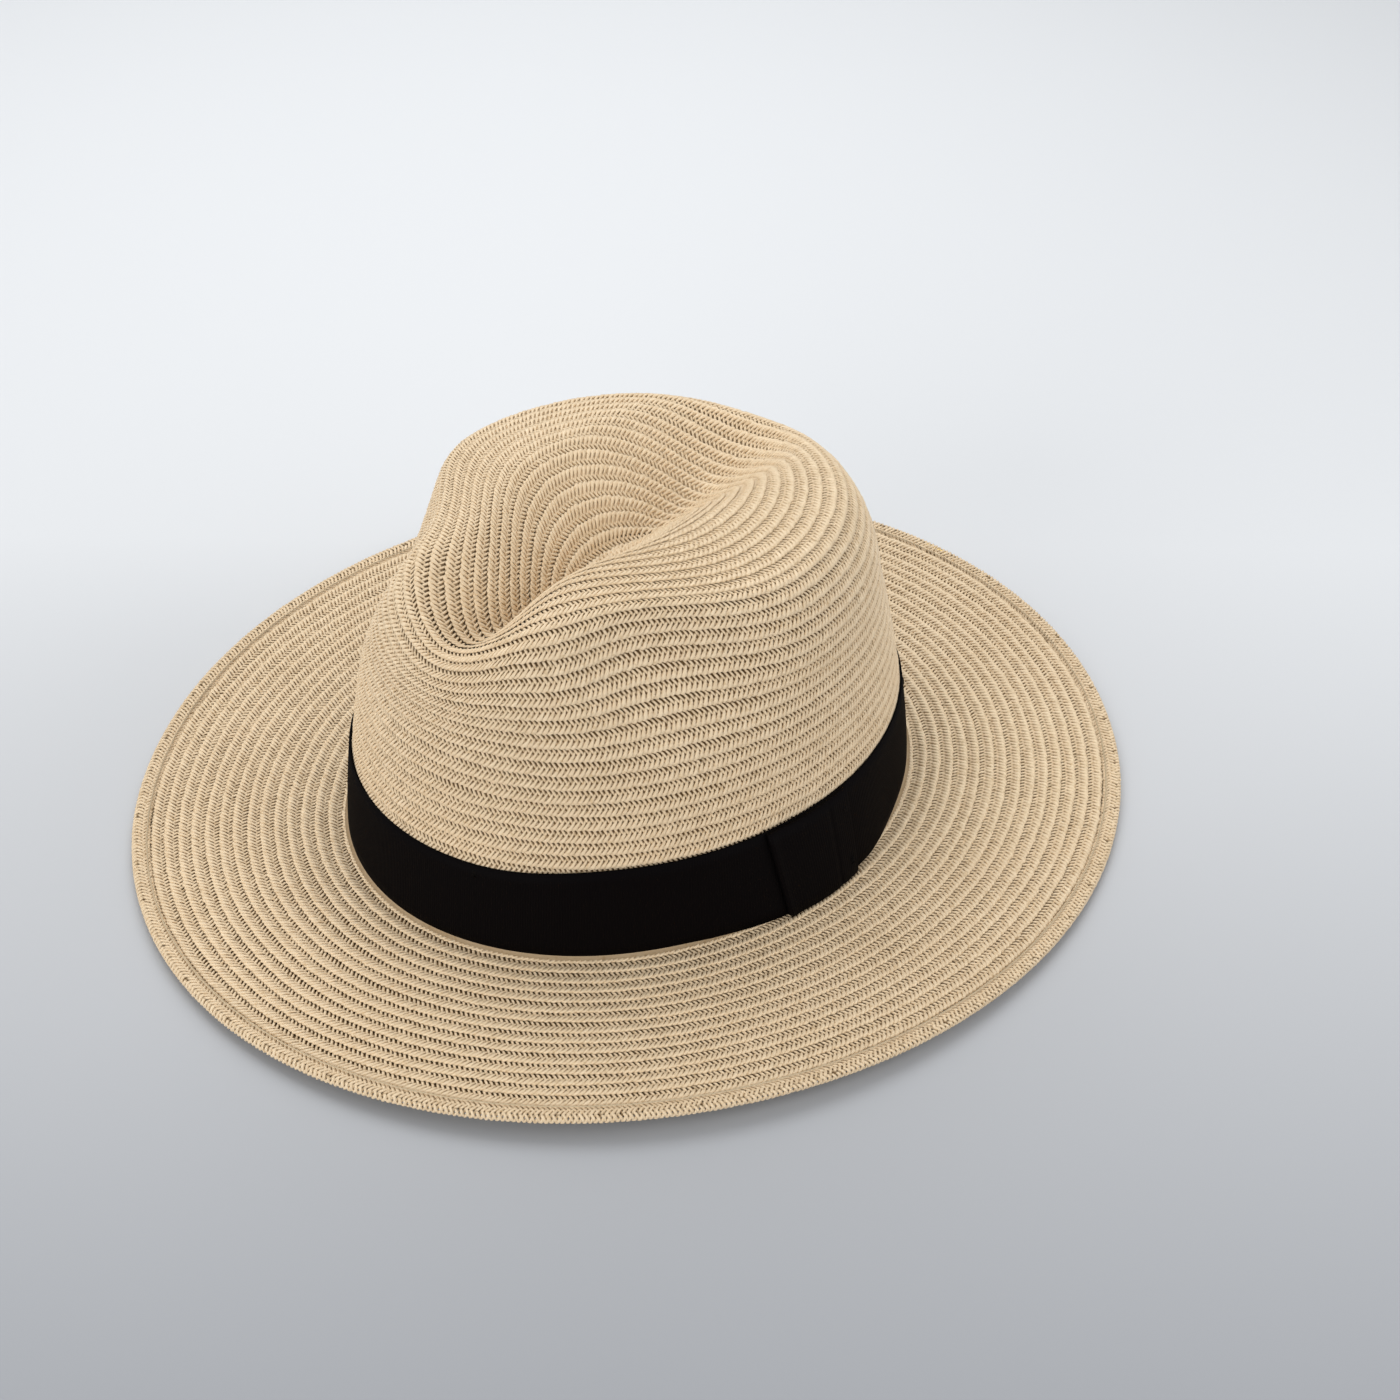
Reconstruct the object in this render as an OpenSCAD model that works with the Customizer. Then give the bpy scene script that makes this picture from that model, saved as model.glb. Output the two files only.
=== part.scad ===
// Straw sun hat: a pinched teardrop crown and a broad flat brim, sewn from flat plaited braid, with a
// ribbon hat band, a flat ribbon tab, an inner sweatband and a wired, hemmed brim edge.
// The front of the hat faces -Y, the wearer's left is +X, and the brim rests on z = 0.

/* [Foot of the crown] */
// Half the outer width of the crown at its foot
foot_half_w = 85.3; // [82:0.1:90]
// Half the outer length of the crown at its foot
foot_half_l = 101.8; // [98:0.1:106]
// How far the foot sits towards the wearer's left of the brim's middle
foot_x = 1; // [-2:0.1:2]
// How far the foot sits behind the brim's middle, less than zero when it sits in front
foot_y = -1.9; // [-3:0.1:2]
// Height of the middle of the foot over the floor
foot_z = 5.9; // [5.9:0.1:8]
// Rise of the foot towards the wearer's left, per unit of width
side_lift = 0.02; // [0:0.005:0.02]
// Rise of the foot towards the front, per unit of length
front_lift = 0.03; // [0:0.005:0.03]

/* [Crown] */
// Height of the crown over its foot, before the dent
crown_h = 117; // [112:1:122]
// Height of the almost straight wall
wall_h = 76; // [72:1:80]
// How far the wall leans in over its height
wall_taper = 8.6; // [6:0.2:11]
// Width of the rounded shoulder over the wall
shoulder_w = 15.4; // [13:0.2:18]
// Rise of the domed tip over the shoulder
dome_h = 6.4; // [4:0.2:9]
// Share by which the top is narrower from front to back
top_narrow = 0.105; // [0.06:0.005:0.12]
// How far the top leans towards the front
top_lean = 5; // [2:0.5:7]

/* [Dent and pinch] */
// Depth of the teardrop dent in the tip
dent_depth = 28.8; // [20:0.2:30]
// Place of the dent's valley across the hat
dent_x = -4.2; // [-6:0.2:2]
// Half width of the dent at the front
dent_half_w_front = 35.7; // [32:0.1:38]
// Half width of the dent at the back
dent_half_w_back = 29.2; // [27:0.1:34]
// Front end of the dent
dent_front_y = -98; // [-100:1:-92]
// Back end of the dent
dent_back_y = 72; // [64:1:74]
// Depth of the finger pinch on each side of the front
pinch_depth = 18.8; // [10:0.2:19]
// Place of the pinch from front to back
pinch_y = -47.5; // [-52:0.5:-42]
// Height of the pinch over the foot
pinch_h = 100; // [96:1:104]
// Reach of the pinch in every direction
pinch_reach = 26; // [20:0.5:28]

/* [Brim] */
// Mean width of the brim
brim_w = 71.6; // [66:0.2:76]
// Mean height of the brim's edge over the floor
edge_z = 5.5; // [5.5:0.1:7]
// Height of the slow wave in the brim's edge
edge_wave = 2.4; // [0:0.1:2.4]

/* [Straw] */
// Thickness of the lapped rows of braid
straw_t = 1.8; // [1.6:0.1:2]
// Distance from one row of braid to the next
row_pitch = 4.6; // [4.4:0.1:5]
// Width of the hem's two flaps
hem_w = 5.2; // [5:0.1:6]
// Thickness of one flap of the hem
flap_t = 0.9; // [0.7:0.1:1]

/* [Wire and thread] */
// Thickness of the wire in the hem
wire_d = 1.2; // [1:0.1:1.2]
// Outer diameter of the sleeve that joins the wire's ends
joiner_d = 1.8; // [1.7:0.1:1.8]
// Length of that sleeve
joiner_l = 9; // [6:0.5:9]
// Thickness of the sewing thread
thread_d = 0.5; // [0.4:0.1:0.6]

/* [Ribbons] */
// Width of the ribbon of the hat band
band_w = 30; // [26:0.5:34]
// Thickness of the hat band
band_t = 0.7; // [0.5:0.1:0.9]
// Thickness of the folded tab
tab_t = 1.4; // [1.2:0.1:1.6]
// Where the tab starts round the crown, in degrees from the wearer's left
tab_from = -14; // [-16:0.5:-12]
// Where the tab ends
tab_to = 4.5; // [3:0.5:6]
// Width of the sweatband
sweat_w = 28; // [24:0.5:32]
// Thickness of the sweatband
sweat_t = 0.9; // [0.7:0.1:1]

/* [Hidden] */

STRAW = [0.80, 0.70, 0.55];
BLACK = [0.07, 0.06, 0.06];
THREAD = [0.86, 0.78, 0.64];
STEEL = [0.62, 0.63, 0.65];
BRASS = [0.78, 0.62, 0.32];

SIDES = 72;                 // facets round the hat, an even number
WALL_STEPS = 5;             // rings up the wall
SHOULDER_STEPS = 4;         // rings round the shoulder
TIP_STEPS = 12;             // rings from the shoulder to the middle of the tip
slot = 1.5;                 // half width of the narrow middle that closes the tip
wall_bow = 1.3;             // power of the wall's lean; over 1, it stands straighter at its foot
dent_from = 0.55;           // share of the crown's height at which the dent begins to pull down
dent_fade = 0.3;            // share of the height over which it reaches its depth
dent_square = 6;            // how squarely the dent ends at the front and the back
shoulder_h = crown_h - dome_h - wall_h;
tip_edge = wall_taper + shoulder_w;
valley_soft = 0.06;         // rounding of the dent's valley, as a share of its half width
rim_soft = 0.19;            // rounding of the dent's rim, as a share of its half width
pinch_ease = 25;            // half width across which the pinch fades at the middle
nip = 0.05;                 // clearance between pieces that touch
turn_step = 1;              // step in degrees for the slope round the crown
rise_step = 0.02;           // step in s for its slope upwards

// Uneven outline of the brim: [cosine, sine] of the waves in its width, once and twice round the hat,
// and of the ripple in its edge, three times round
width_waves = [[-1, 1.9], [1, 1.5]];
edge_ripple = [-0.25, -0.5];

// Place on the hem's section, measured in from the brim's outer edge
wire_in = 1.75;
fold_in = 0.75;
straw_in = 2.8;
hem_gap = straw_t / 2 + 0.1;
arc_out = sqrt(0.5);        // a point halfway round a quarter turn
arc_in = 1 - arc_out;

// Ribbons and seams on the wall, by height over the foot and distance off the wall
band_low = 0.4;
band_far = nip + band_t;
tab_near = band_far + nip;
tab_slant = 3;              // degrees by which the tab's leading edge slants
sweat_low = 0.8;
sweat_near = straw_t + 0.75; // depth of the sweatband's outer face
sweat_seam = 3;             // height of its seam
seam_gap = 0.2;             // clearance of a seam from the straw's inner face

// --- Small helpers -------------------------------------------------------------------------------
function mix(a, b, t) = a + (b - a) * t;
function ease(t) = let(c = min(1, max(0, t))) c * c * (3 - 2 * c);
function tanh(v) = let(e = exp(2 * v)) (e - 1) / (e + 1);
function unit(v) = v / norm(v);
function turn_angle(i, n = SIDES) = 90 + (i + 0.5) * 360 / n;

// --- The crown's surface ---------------------------------------------------------------------------
// s runs 0 to 1 up the wall, 1 to 2 round the shoulder and 2 to 3 over the tip to its middle.
// Each gives how far the outline has moved in and how high it has risen.
function profile(s) =
    s <= 1 ? let(t = max(0, s)) [wall_taper * pow(t, wall_bow), wall_h * t]
    : s <= 2 ? let(q = 90 * (s - 1))
        [wall_taper + shoulder_w * (1 - cos(q)), wall_h + shoulder_h * sin(q)]
    : let(u = min(1, s - 2))
        [mix(tip_edge, foot_half_w - slot, u), wall_h + shoulder_h + dome_h * (1 - pow(1 - u, 2))];

// Share of the dent's depth at a place on the tip: even slopes into a valley that runs front to back
function dent_share(x, y) =
    let(
        along = ease((y - dent_front_y) / (dent_back_y - dent_front_y)),
        half_w = mix(dent_half_w_front, dent_half_w_back, along),
        mid_y = (dent_front_y + dent_back_y) / 2,
        half_l = (dent_back_y - dent_front_y) / 2,
        r = sqrt(pow((x - dent_x) / half_w, 2) + pow((y - mid_y) / half_l, dent_square)),
        v = valley_soft,
        q = 1 - (sqrt(r * r + v * v) - v) / (sqrt(1 + v * v) - v)
    )
    (q + sqrt(q * q + rim_soft * rim_soft)) / (1 + sqrt(1 + rim_soft * rim_soft));

// A point on the outside of the crown; out moves it off the wall, level with the floor
function crown_point(a, s, out = 0) =
    let(
        p = profile(s),
        t = p[1] / crown_h,
        x = (foot_half_w - p[0] + out) * cos(a),
        y = (foot_half_l - p[0] + out) * sin(a) * (1 - top_narrow * t * t) - top_lean * t * t,
        z = foot_z + p[1] - dent_depth * dent_share(x, y) * ease((t - dent_from) / dent_fade),
        pinch = exp(-pow((y - pinch_y) / pinch_reach, 2) - pow((p[1] - pinch_h) / pinch_reach, 2)),
        px = x - tanh(x / pinch_ease) * pinch_depth * pinch
    )
    [foot_x + px, foot_y + y, z + side_lift * px - front_lift * y];

function crown_normal(a, s) =
    let(
        across = crown_point(a + turn_step, s) - crown_point(a - turn_step, s),
        up = crown_point(a, s + rise_step) - crown_point(a, max(0, s - rise_step))
    )
    unit(cross(across, up));

// A point a given depth under the crown's outside
function crown_under(a, s, depth) = crown_point(a, s) - crown_normal(a, s) * depth;

// A point on the upright wall at a height over the foot, moved out level with the floor
function wall_point(a, h, out) = crown_point(a, h / wall_h, out);

// --- The brim's surface ----------------------------------------------------------------------------
function foot_oval(a) = [foot_half_w * cos(a), foot_half_l * sin(a)];
function foot_normal(a) = unit([foot_half_l * cos(a), foot_half_w * sin(a)]);
function wave(terms, times, a) = terms[0] * cos(times * a) + terms[1] * sin(times * a);
function brim_width(a) = brim_w + wave(width_waves[0], 1, a) + wave(width_waves[1], 2, a);
function edge_height(a) = edge_z - edge_wave * sin(2 * a) + wave(edge_ripple, 3, a);
function foot_height(a) = let(o = foot_oval(a)) foot_z + side_lift * o[0] - front_lift * o[1];

// A point out over the brim, with dz measured from the top of the straw
function brim_point(a, out, dz = 0) =
    let(o = foot_oval(a) + foot_normal(a) * out, u = out / brim_width(a))
    [foot_x + o[0], foot_y + o[1], mix(foot_height(a), edge_height(a), u) + dz];

// A point in the hem's section: in from the brim's edge, up from the middle of the straw
function hem_point(a, inward, up) = brim_point(a, brim_width(a) - inward, up - straw_t / 2);

// --- Solids swept along a path ---------------------------------------------------------------------
// Each section is a list of points that runs anticlockwise seen from behind the direction of travel.
module sweep(sections, closed = true) {
    n = len(sections);
    m = len(sections[0]);
    steps = closed ? n : n - 1;
    sides = [
        for (i = [0 : steps - 1], k = [0 : m - 1])
            let(j = (i + 1) % n, l = (k + 1) % m)
            each [[i * m + k, i * m + l, j * m + l], [i * m + k, j * m + l, j * m + k]]
    ];
    ends = closed ? [] : [[for (k = [m - 1 : -1 : 0]) k], [for (k = [0 : m - 1]) (n - 1) * m + k]];
    polyhedron([for (section = sections) each section], concat(sides, ends), convexity = 8);
}

// One round section of a strand at p, which travels along direction t
function round_section(p, t, r, n) =
    let(out = unit(cross(t, [0, 0, 1])), up = cross(out, t))
    [for (k = [0 : n - 1]) let(q = 360 * k / n) p + r * (out * cos(q) + up * sin(q))];

module strand(path, d, n, closed = true) {
    last = len(path) - 1;
    function before(i) = closed ? path[(i + last) % (last + 1)] : path[max(0, i - 1)];
    function after(i) = closed ? path[(i + 1) % (last + 1)] : path[min(last, i + 1)];
    sweep([for (i = [0 : last]) round_section(path[i], unit(after(i) - before(i)), d / 2, n)], closed);
}

// --- Straw -----------------------------------------------------------------------------------------
module crown_side_braid() {
    steps = WALL_STEPS + SHOULDER_STEPS;
    function level(k) = k <= WALL_STEPS ? k / WALL_STEPS : 1 + (k - WALL_STEPS) / SHOULDER_STEPS;
    color(STRAW) sweep([
        for (i = [0 : SIDES - 1])
            let(a = turn_angle(i))
            concat(
                [for (k = [0 : steps]) crown_point(a, level(k))],
                [for (k = [steps : -1 : 1]) crown_under(a, level(k), straw_t)],
                [wall_point(a, 0, -straw_t)]
            )
    ]);
}

// The oval coil on top: an outer and an inner skin, both closed across the narrow middle
module crown_tip_braid() {
    n = SIDES;
    count = (TIP_STEPS + 1) * n;
    outer = [
        for (k = [0 : TIP_STEPS], i = [0 : n - 1]) crown_point(turn_angle(i), 2 + k / TIP_STEPS)
    ];
    inner = [
        for (k = [0 : TIP_STEPS], i = [0 : n - 1])
            crown_under(turn_angle(i), 2 + k / TIP_STEPS, straw_t)
    ];
    skins = [
        for (k = [0 : TIP_STEPS - 1], i = [0 : n - 1])
            let(j = (i + 1) % n, a = k * n + i, b = k * n + j, c = a + n, d = b + n)
            each [
                [a, c, d], [a, d, b],
                [count + a, count + d, count + c], [count + a, count + b, count + d]
            ]
    ];
    rim = [
        for (i = [0 : n - 1])
            let(j = (i + 1) % n)
            each [[i, j, count + j], [i, count + j, count + i]]
    ];
    middle = [
        for (i = [0 : n / 2 - 2])
            let(t = TIP_STEPS * n, a = t + i, b = t + i + 1, c = t + n - 2 - i, d = t + n - 1 - i)
            each [
                [b, a, d], [b, d, c],
                [count + a, count + b, count + c], [count + a, count + c, count + d]
            ]
    ];
    color(STRAW) polyhedron(concat(outer, inner), concat(skins, rim, middle), convexity = 8);
}

module brim_braid() {
    mid = 0.5;
    color(STRAW) sweep([
        for (i = [0 : SIDES - 1])
            let(a = turn_angle(i), far = brim_width(a) - straw_in)
            [
                brim_point(a, -straw_t, -straw_t), brim_point(a, mid * far, -straw_t),
                brim_point(a, far, -straw_t), brim_point(a, far),
                brim_point(a, mid * far), brim_point(a, -straw_t)
            ]
    ]);
}

// The last row, folded over the brim's edge and the wire
module brim_hem_braid() {
    g = hem_gap;
    t = hem_gap + flap_t;
    section = [
        [hem_w, -g], [hem_w, -t], [t, -t], [arc_in * t, -arc_out * t], [0, 0],
        [arc_in * t, arc_out * t], [t, t], [hem_w, t], [hem_w, g], [fold_in + g, g],
        [fold_in + arc_in * g, arc_out * g], [fold_in, 0], [fold_in + arc_in * g, -arc_out * g],
        [fold_in + g, -g]
    ];
    color(STRAW) sweep([
        for (i = [0 : SIDES - 1]) [for (p = section) hem_point(turn_angle(i), p[0], p[1])]
    ]);
}

// --- Thread ----------------------------------------------------------------------------------------
// The seam on the inside of the crown's rows, a spiral from the foot to the edge of the tip
module crown_row_thread() {
    per_turn = SIDES / 2;
    wall_turns = floor(wall_h / row_pitch);
    shoulder_turns = 8;
    turns = wall_turns + shoulder_turns;
    depth = straw_t + seam_gap + thread_d / 2;
    function level(t) = t <= wall_turns ? t / wall_turns : 1 + (t - wall_turns) / shoulder_turns;
    path = [
        for (i = [per_turn : turns * per_turn - 1])
            crown_under(turn_angle(i, per_turn), level(i / per_turn), depth)
    ];
    color(THREAD) strand(path, thread_d, 3, closed = false);
}

// The seam under the brim's rows, a spiral from the foot to the hem
module brim_row_thread() {
    per_turn = SIDES / 2;
    turns = floor((brim_w - hem_w) / row_pitch) - 1;
    drop = straw_t + nip + thread_d / 2;
    path = [
        for (i = [per_turn : (turns + 1) * per_turn])
            let(a = turn_angle(i, per_turn), out = (brim_width(a) - hem_w) * i / per_turn / (turns + 2))
            brim_point(a, out, -drop)
    ];
    color(THREAD) strand(path, thread_d, 3, closed = false);
}

// The hem's seam: one thread on top and one below, in the step beside each flap
module hem_thread() {
    off = straw_t / 2 + nip + thread_d / 2;
    inward = hem_w + nip + thread_d / 2;
    color(THREAD)
    for (side = [-1, 1])
        strand([for (i = [0 : SIDES - 1]) hem_point(turn_angle(i), inward, side * off)], thread_d, 4);
}

// The seam that holds the sweatband, on its lower edge
module sweatband_thread() {
    out = -(sweat_near + sweat_t + nip + thread_d / 2);
    color(THREAD)
    strand([for (i = [0 : SIDES - 1]) wall_point(turn_angle(i), sweat_seam, out)], thread_d, 4);
}

// --- Wire ------------------------------------------------------------------------------------------
module brim_wire() {
    color(STEEL)
    strand([for (i = [0 : SIDES - 1]) hem_point(turn_angle(i), wire_in, 0)], wire_d, 6);
}

// A sleeve on the wire's one straight facet, at the back of the hat
module wire_joiner() {
    a = hem_point(turn_angle(SIDES - 1), wire_in, 0);
    b = hem_point(turn_angle(0), wire_in, 0);
    along = b - a;
    color(BRASS)
    translate((a + b) / 2)
    rotate([0, acos(along[2] / norm(along)), atan2(along[1], along[0])])
    difference() {
        cylinder(d = joiner_d, h = joiner_l, center = true, $fn = 32);
        cylinder(d = wire_d + 2 * nip, h = joiner_l + 1, center = true, $fn = 32);
    }
}

// --- Ribbons ---------------------------------------------------------------------------------------
// An upright ribbon's section at angle a, from height low to high, between two distances off the wall
function ribbon_section(a, low, high, near, far) =
    let(mid = (low + high) / 2)
    [
        wall_point(a, low, near), wall_point(a, low, far), wall_point(a, mid, far),
        wall_point(a, high, far), wall_point(a, high, near), wall_point(a, mid, near)
    ];

module hat_band() {
    color(BLACK) sweep([
        for (i = [0 : SIDES - 1])
            ribbon_section(turn_angle(i), band_low, band_low + band_w, nip, band_far)
    ]);
}

// The folded tab over the band's joint; its leading edge slants back towards the brim
module band_tab() {
    steps = 4;
    low = band_low;
    high = band_low + band_w;
    color(BLACK) sweep([
        for (i = [0 : steps])
            let(
                top = mix(tab_from, tab_to, i / steps),
                foot = top + tab_slant * (1 - i / steps),
                mid = (top + foot) / 2,
                far = tab_near + tab_t
            )
            [
                wall_point(foot, low, tab_near), wall_point(foot, low, far),
                wall_point(mid, (low + high) / 2, far), wall_point(top, high, far),
                wall_point(top, high, tab_near), wall_point(mid, (low + high) / 2, tab_near)
            ]
    ], closed = false);
}

// Short tacking stitches: two on the tab and five round the top edge of the band
module band_tacks() {
    stitch_l = 3;
    tab_heights = [6, 25];
    tab_angle = tab_to - 1.5;
    band_height = band_low + band_w - 3;
    module stitch(a, h, out) {
        translate(wall_point(a, h, out + thread_d / 2 + nip))
        rotate([0, 0, a])
        cylinder(d = thread_d, h = stitch_l, center = true, $fn = 16);
    }
    color(BLACK) {
        for (h = tab_heights) stitch(tab_angle, h, tab_near + tab_t);
        for (a = [45 : 60 : 285]) stitch(a, band_height, band_far);
    }
}

module sweatband() {
    far = -sweat_near;
    color(BLACK) sweep([
        for (i = [0 : SIDES - 1])
            ribbon_section(turn_angle(i), sweat_low, sweat_low + sweat_w, far - sweat_t, far)
    ]);
}

crown_tip_braid();
crown_side_braid();
brim_braid();
brim_hem_braid();
crown_row_thread();
brim_row_thread();
hem_thread();
brim_wire();
wire_joiner();
hat_band();
band_tab();
band_tacks();
sweatband();
sweatband_thread();
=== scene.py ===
import math
import bmesh
import bpy
import numpy as np
from mathutils import Matrix, Vector


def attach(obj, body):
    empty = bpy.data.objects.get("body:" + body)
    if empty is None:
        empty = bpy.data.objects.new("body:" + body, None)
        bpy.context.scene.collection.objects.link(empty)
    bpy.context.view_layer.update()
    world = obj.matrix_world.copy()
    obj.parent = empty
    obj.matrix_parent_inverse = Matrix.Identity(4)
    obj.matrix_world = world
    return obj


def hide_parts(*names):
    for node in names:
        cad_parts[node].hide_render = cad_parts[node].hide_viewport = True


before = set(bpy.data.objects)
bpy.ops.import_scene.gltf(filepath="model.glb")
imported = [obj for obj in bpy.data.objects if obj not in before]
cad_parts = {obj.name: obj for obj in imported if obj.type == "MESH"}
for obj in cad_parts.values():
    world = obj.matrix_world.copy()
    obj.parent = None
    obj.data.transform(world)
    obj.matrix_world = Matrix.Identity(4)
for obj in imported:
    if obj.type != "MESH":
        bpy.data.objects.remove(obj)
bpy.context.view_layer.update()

MM = 0.001
TURN = 2 * math.pi
RANDOM = np.random.default_rng(5)

# Foot of the crown, as in the CAD
FOOT_HALF_W, FOOT_HALF_L = 85.3, 101.8
FOOT_X, FOOT_Y, FOOT_Z = 1.0, -1.9, 5.9
SIDE_LIFT, FRONT_LIFT = 0.02, 0.03

# Crown
CROWN_H, WALL_H = 117.0, 76.0
WALL_TAPER, WALL_BOW = 8.6, 1.3
SHOULDER_W, DOME_H = 15.4, 6.4
SHOULDER_H = CROWN_H - DOME_H - WALL_H
TIP_EDGE = WALL_TAPER + SHOULDER_W
TOP_NARROW, TOP_LEAN = 0.105, 5.0
TIP_MIDDLE, TIP_CLOSED = 0.05, 0.001   # nearer the tip's middle line than this, distances all but vanish

# Dent and pinch
DENT_DEPTH, DENT_X = 28.8, -4.2
DENT_HALF_W_FRONT, DENT_HALF_W_BACK = 35.7, 29.2
DENT_FRONT_Y, DENT_BACK_Y = -98.0, 72.0
DENT_FROM, DENT_FADE, DENT_SQUARE = 0.55, 0.3, 6
VALLEY_SOFT, RIM_SOFT = 0.06, 0.19
PINCH_DEPTH, PINCH_Y, PINCH_H, PINCH_REACH, PINCH_EASE = 18.8, -47.5, 100.0, 26.0, 25.0

# Brim
BRIM_W, EDGE_Z, EDGE_WAVE = 71.6, 5.5, 2.4
WIDTH_WAVES = ((-1, 1.9), (1, 1.5))
EDGE_RIPPLE = (-0.25, -0.5)

# Braid: flat plaits of an odd number of yarns, lapped so that each row's outer edge covers the next row
STRAW_T = 1.8
CROWN_PITCH = 4.6
BRIM_PITCH = 4.43
CROWN_FROM = 0.45 * CROWN_PITCH     # the first row's middle, out from the line it is coiled round
TIP_TURNS = 13.8                    # turns of the braid in the tip, before the shoulder
FOOT_RINGS, BRIM_FROM = (-2.3, -0.3), 4.2   # the brim's two rings at the foot, and its first open one
STEP_SHARE, STEP_ANGLE = 0.15, 2.75         # a ring's last share of a turn steps out, and ends at this angle
BRAID_W = 6.6
BRAID_STRANDS = 5
HEM_STRANDS, HEM_ZONES = 13, 3
YARN_NARROW, YARN_WIDE = 0.88, 1.5   # a yarn is packed flatter along a row's outer edge
YARN_T = 0.5
CORE_DROP, CORE_T, CORE_IN = 0.2, 0.12, 1.0   # inner layer of the braid, painted dark brown on top as the shade seen in its gaps
CORE_UNDER = 0.35           # how pale it is from below
CORE_FROM = 150.0           # where it starts to widen: the tip's first turns are too tight for it
YARN_APART = 3.7            # keeps one yarn's fibres unlike the next one's
SWAY, SWAY_STEP = 0.16, 22.0         # unevenness of a row, and the length over which it changes
JITTER, JITTER_STEP = 0.12, 2.7      # the same across a yarn's path
LIFT, LIFT_STEP = JITTER / 3, 3.1    # in a yarn's height
UNEVEN, UNEVEN_STEP = 0.09, 4.3      # in a yarn's width, as a share
TONE, TONE_STEP, YARN_TONE = 0.2, 7.0, 0.05    # in its tone, and from yarn to yarn
GAP_SHADE_NOISE, GAP_SHADE_NOISE_STEP = 0.25, 1.9          # random change in how strong the painted shade in its gaps is
RIDGE_FROM, RIDGE_FADE = 0.9, 0.9    # where a row's smooth outer ridge begins, out from its middle
LAP_LINE, LAP_FADE = 1.25, 0.8       # how far inside a row's middle the next row's edge lies, and the width of the painted shade under it
LINE_FADE = 0.9             # how far out from that edge the painted shade in the gaps stays strongest
BACK_GAPS, TIP_GAPS, TIP_LENGTH = 0.72, 0.35, 5200.0   # less painted shade in the gaps on a row's back and in the tip
GAP_SHADE = 0.8             # painted shade in the gap under a row's edge
EDGE_STEP = 1.6             # distance from one yarn's turn at the braid's edge to the next
WEAVE = 0.27                # how far a yarn rises and sinks as it crosses the others
LAP_SLOPE = 0.2             # tilt of a row across its width
YARN_SECTION = ((-0.5, -0.5), (-0.34, 0.5), (0.34, 0.5), (0.5, -0.5))

# Hem: the last row, folded over the wire
HEM_SHOWS = 6.4                      # width outside the last row's edge
HEM_EDGE, HEM_BEND = 1.8, 1.0        # the fold's middle line: how far in it lies, and its radius
HEM_FLAT, HEM_TILT = 5.4, 0.22
HEM_YARNS, HEM_WEAVE = (1.0, 1.34), 0.15
HEM_STITCH_STEP, HEM_STITCH_IN = 6.0, 2.3
HEM_DIMPLE_L, HEM_DIMPLE_W, HEM_DIMPLE, HEM_DIMPLE_SHADE = 1.3, 0.7, 0.5, 1.1
HEM_GAPS, HEM_LINE, HEM_LINE_W = (0.6, 0.4), 0.6, 1.2    # the painted shade in its gaps is stronger near the last row

# Ribbons
BAND_LOW, BAND_W, BAND_T, NIP = 0.4, 30.0, 0.7, 0.05
BAND_LOOSE = ((0.12, 5, 0.6), (0.08, 11, 0.0))   # slack of its upper edge: size, waves round the hat, shift
TAB_FROM, TAB_TO, TAB_SLANT, TAB_T = -16.3, 4.0, 3.1, 1.4
FLARE, FLARE_MIDDLE, FLARE_HALF, FLARE_FADE = 3.2, -3.0, 9.0, 12.0
TAB_FOLD, TAB_CREASE, TAB_PUFF, TAB_SQUEEZE = (0.9, 0.07), (-0.35, 0.03, 0.72), 0.7, 0.3
RIDE_UP, RIDE_REACH, RIDE_FADE = 2.2, 75, 30
TACK_L, TACK_D, TACK_ANGLES, TACK_HEIGHT = 3.0, 0.5, (45, 105, 165, 225, 285), 27.4
TAB_TACK_ANGLE, TAB_TACK_HEIGHTS, TACK_SPREAD = TAB_TO - 1.5, (6, 25), 0.4
RIB_STEP, RIB_H, RIBBON_ROWS, SELVEDGE = 0.86, 0.07, 9, 0.05
SWEAT_LOW, SWEAT_W, SWEAT_T = 0.8, 28.0, 0.9
SWEAT_NEAR = STRAW_T + 0.75

# Camera: seen from the wearer's front left, a little rolled
CAMERA_AZIMUTH, CAMERA_HEIGHT, CAMERA_ROLL = 40.0, 38.04, 0.56
CAMERA_DISTANCE, CAMERA_LENS = 889.8, 70
AIM = (1.0, -1.9, 48.4)
AIM_RIGHT, AIM_UP = 22.52, -10.23

# Floor: pale paper, with painted shade that makes it greyer in front of the hat
FLOOR_DARK, FLOOR_LIGHT = (0.30, 0.312, 0.34, 1), (0.665, 0.683, 0.71, 1)
FLOOR_DARK_Y, FLOOR_LIGHT_Y = -0.32, 0.14
FLOOR_NEAR_Y, FLOOR_NEAREST_Y = -1.2, -2.6


# --- Camera and stage ------------
def add_camera():
    azimuth, height, roll = map(math.radians, (CAMERA_AZIMUTH, CAMERA_HEIGHT, CAMERA_ROLL))
    back = Vector((math.sin(azimuth) * math.cos(height), -math.cos(azimuth) * math.cos(height),
                   math.sin(height)))
    right = Vector((math.cos(azimuth), math.sin(azimuth), 0))
    up = back.cross(right)
    rolled_right = right * math.cos(roll) + up * math.sin(roll)
    rolled_up = up * math.cos(roll) - right * math.sin(roll)
    place = Vector(AIM) + back * CAMERA_DISTANCE + rolled_right * AIM_RIGHT + rolled_up * AIM_UP
    data = bpy.data.cameras.new("camera")
    data.lens = CAMERA_LENS
    camera = bpy.data.objects.new("camera", data)
    axes = Matrix((rolled_right, rolled_up, back)).transposed()
    camera.matrix_world = Matrix.Translation(place * MM) @ axes.to_4x4()
    bpy.context.scene.collection.objects.link(camera)
    bpy.context.scene.camera = camera


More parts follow.
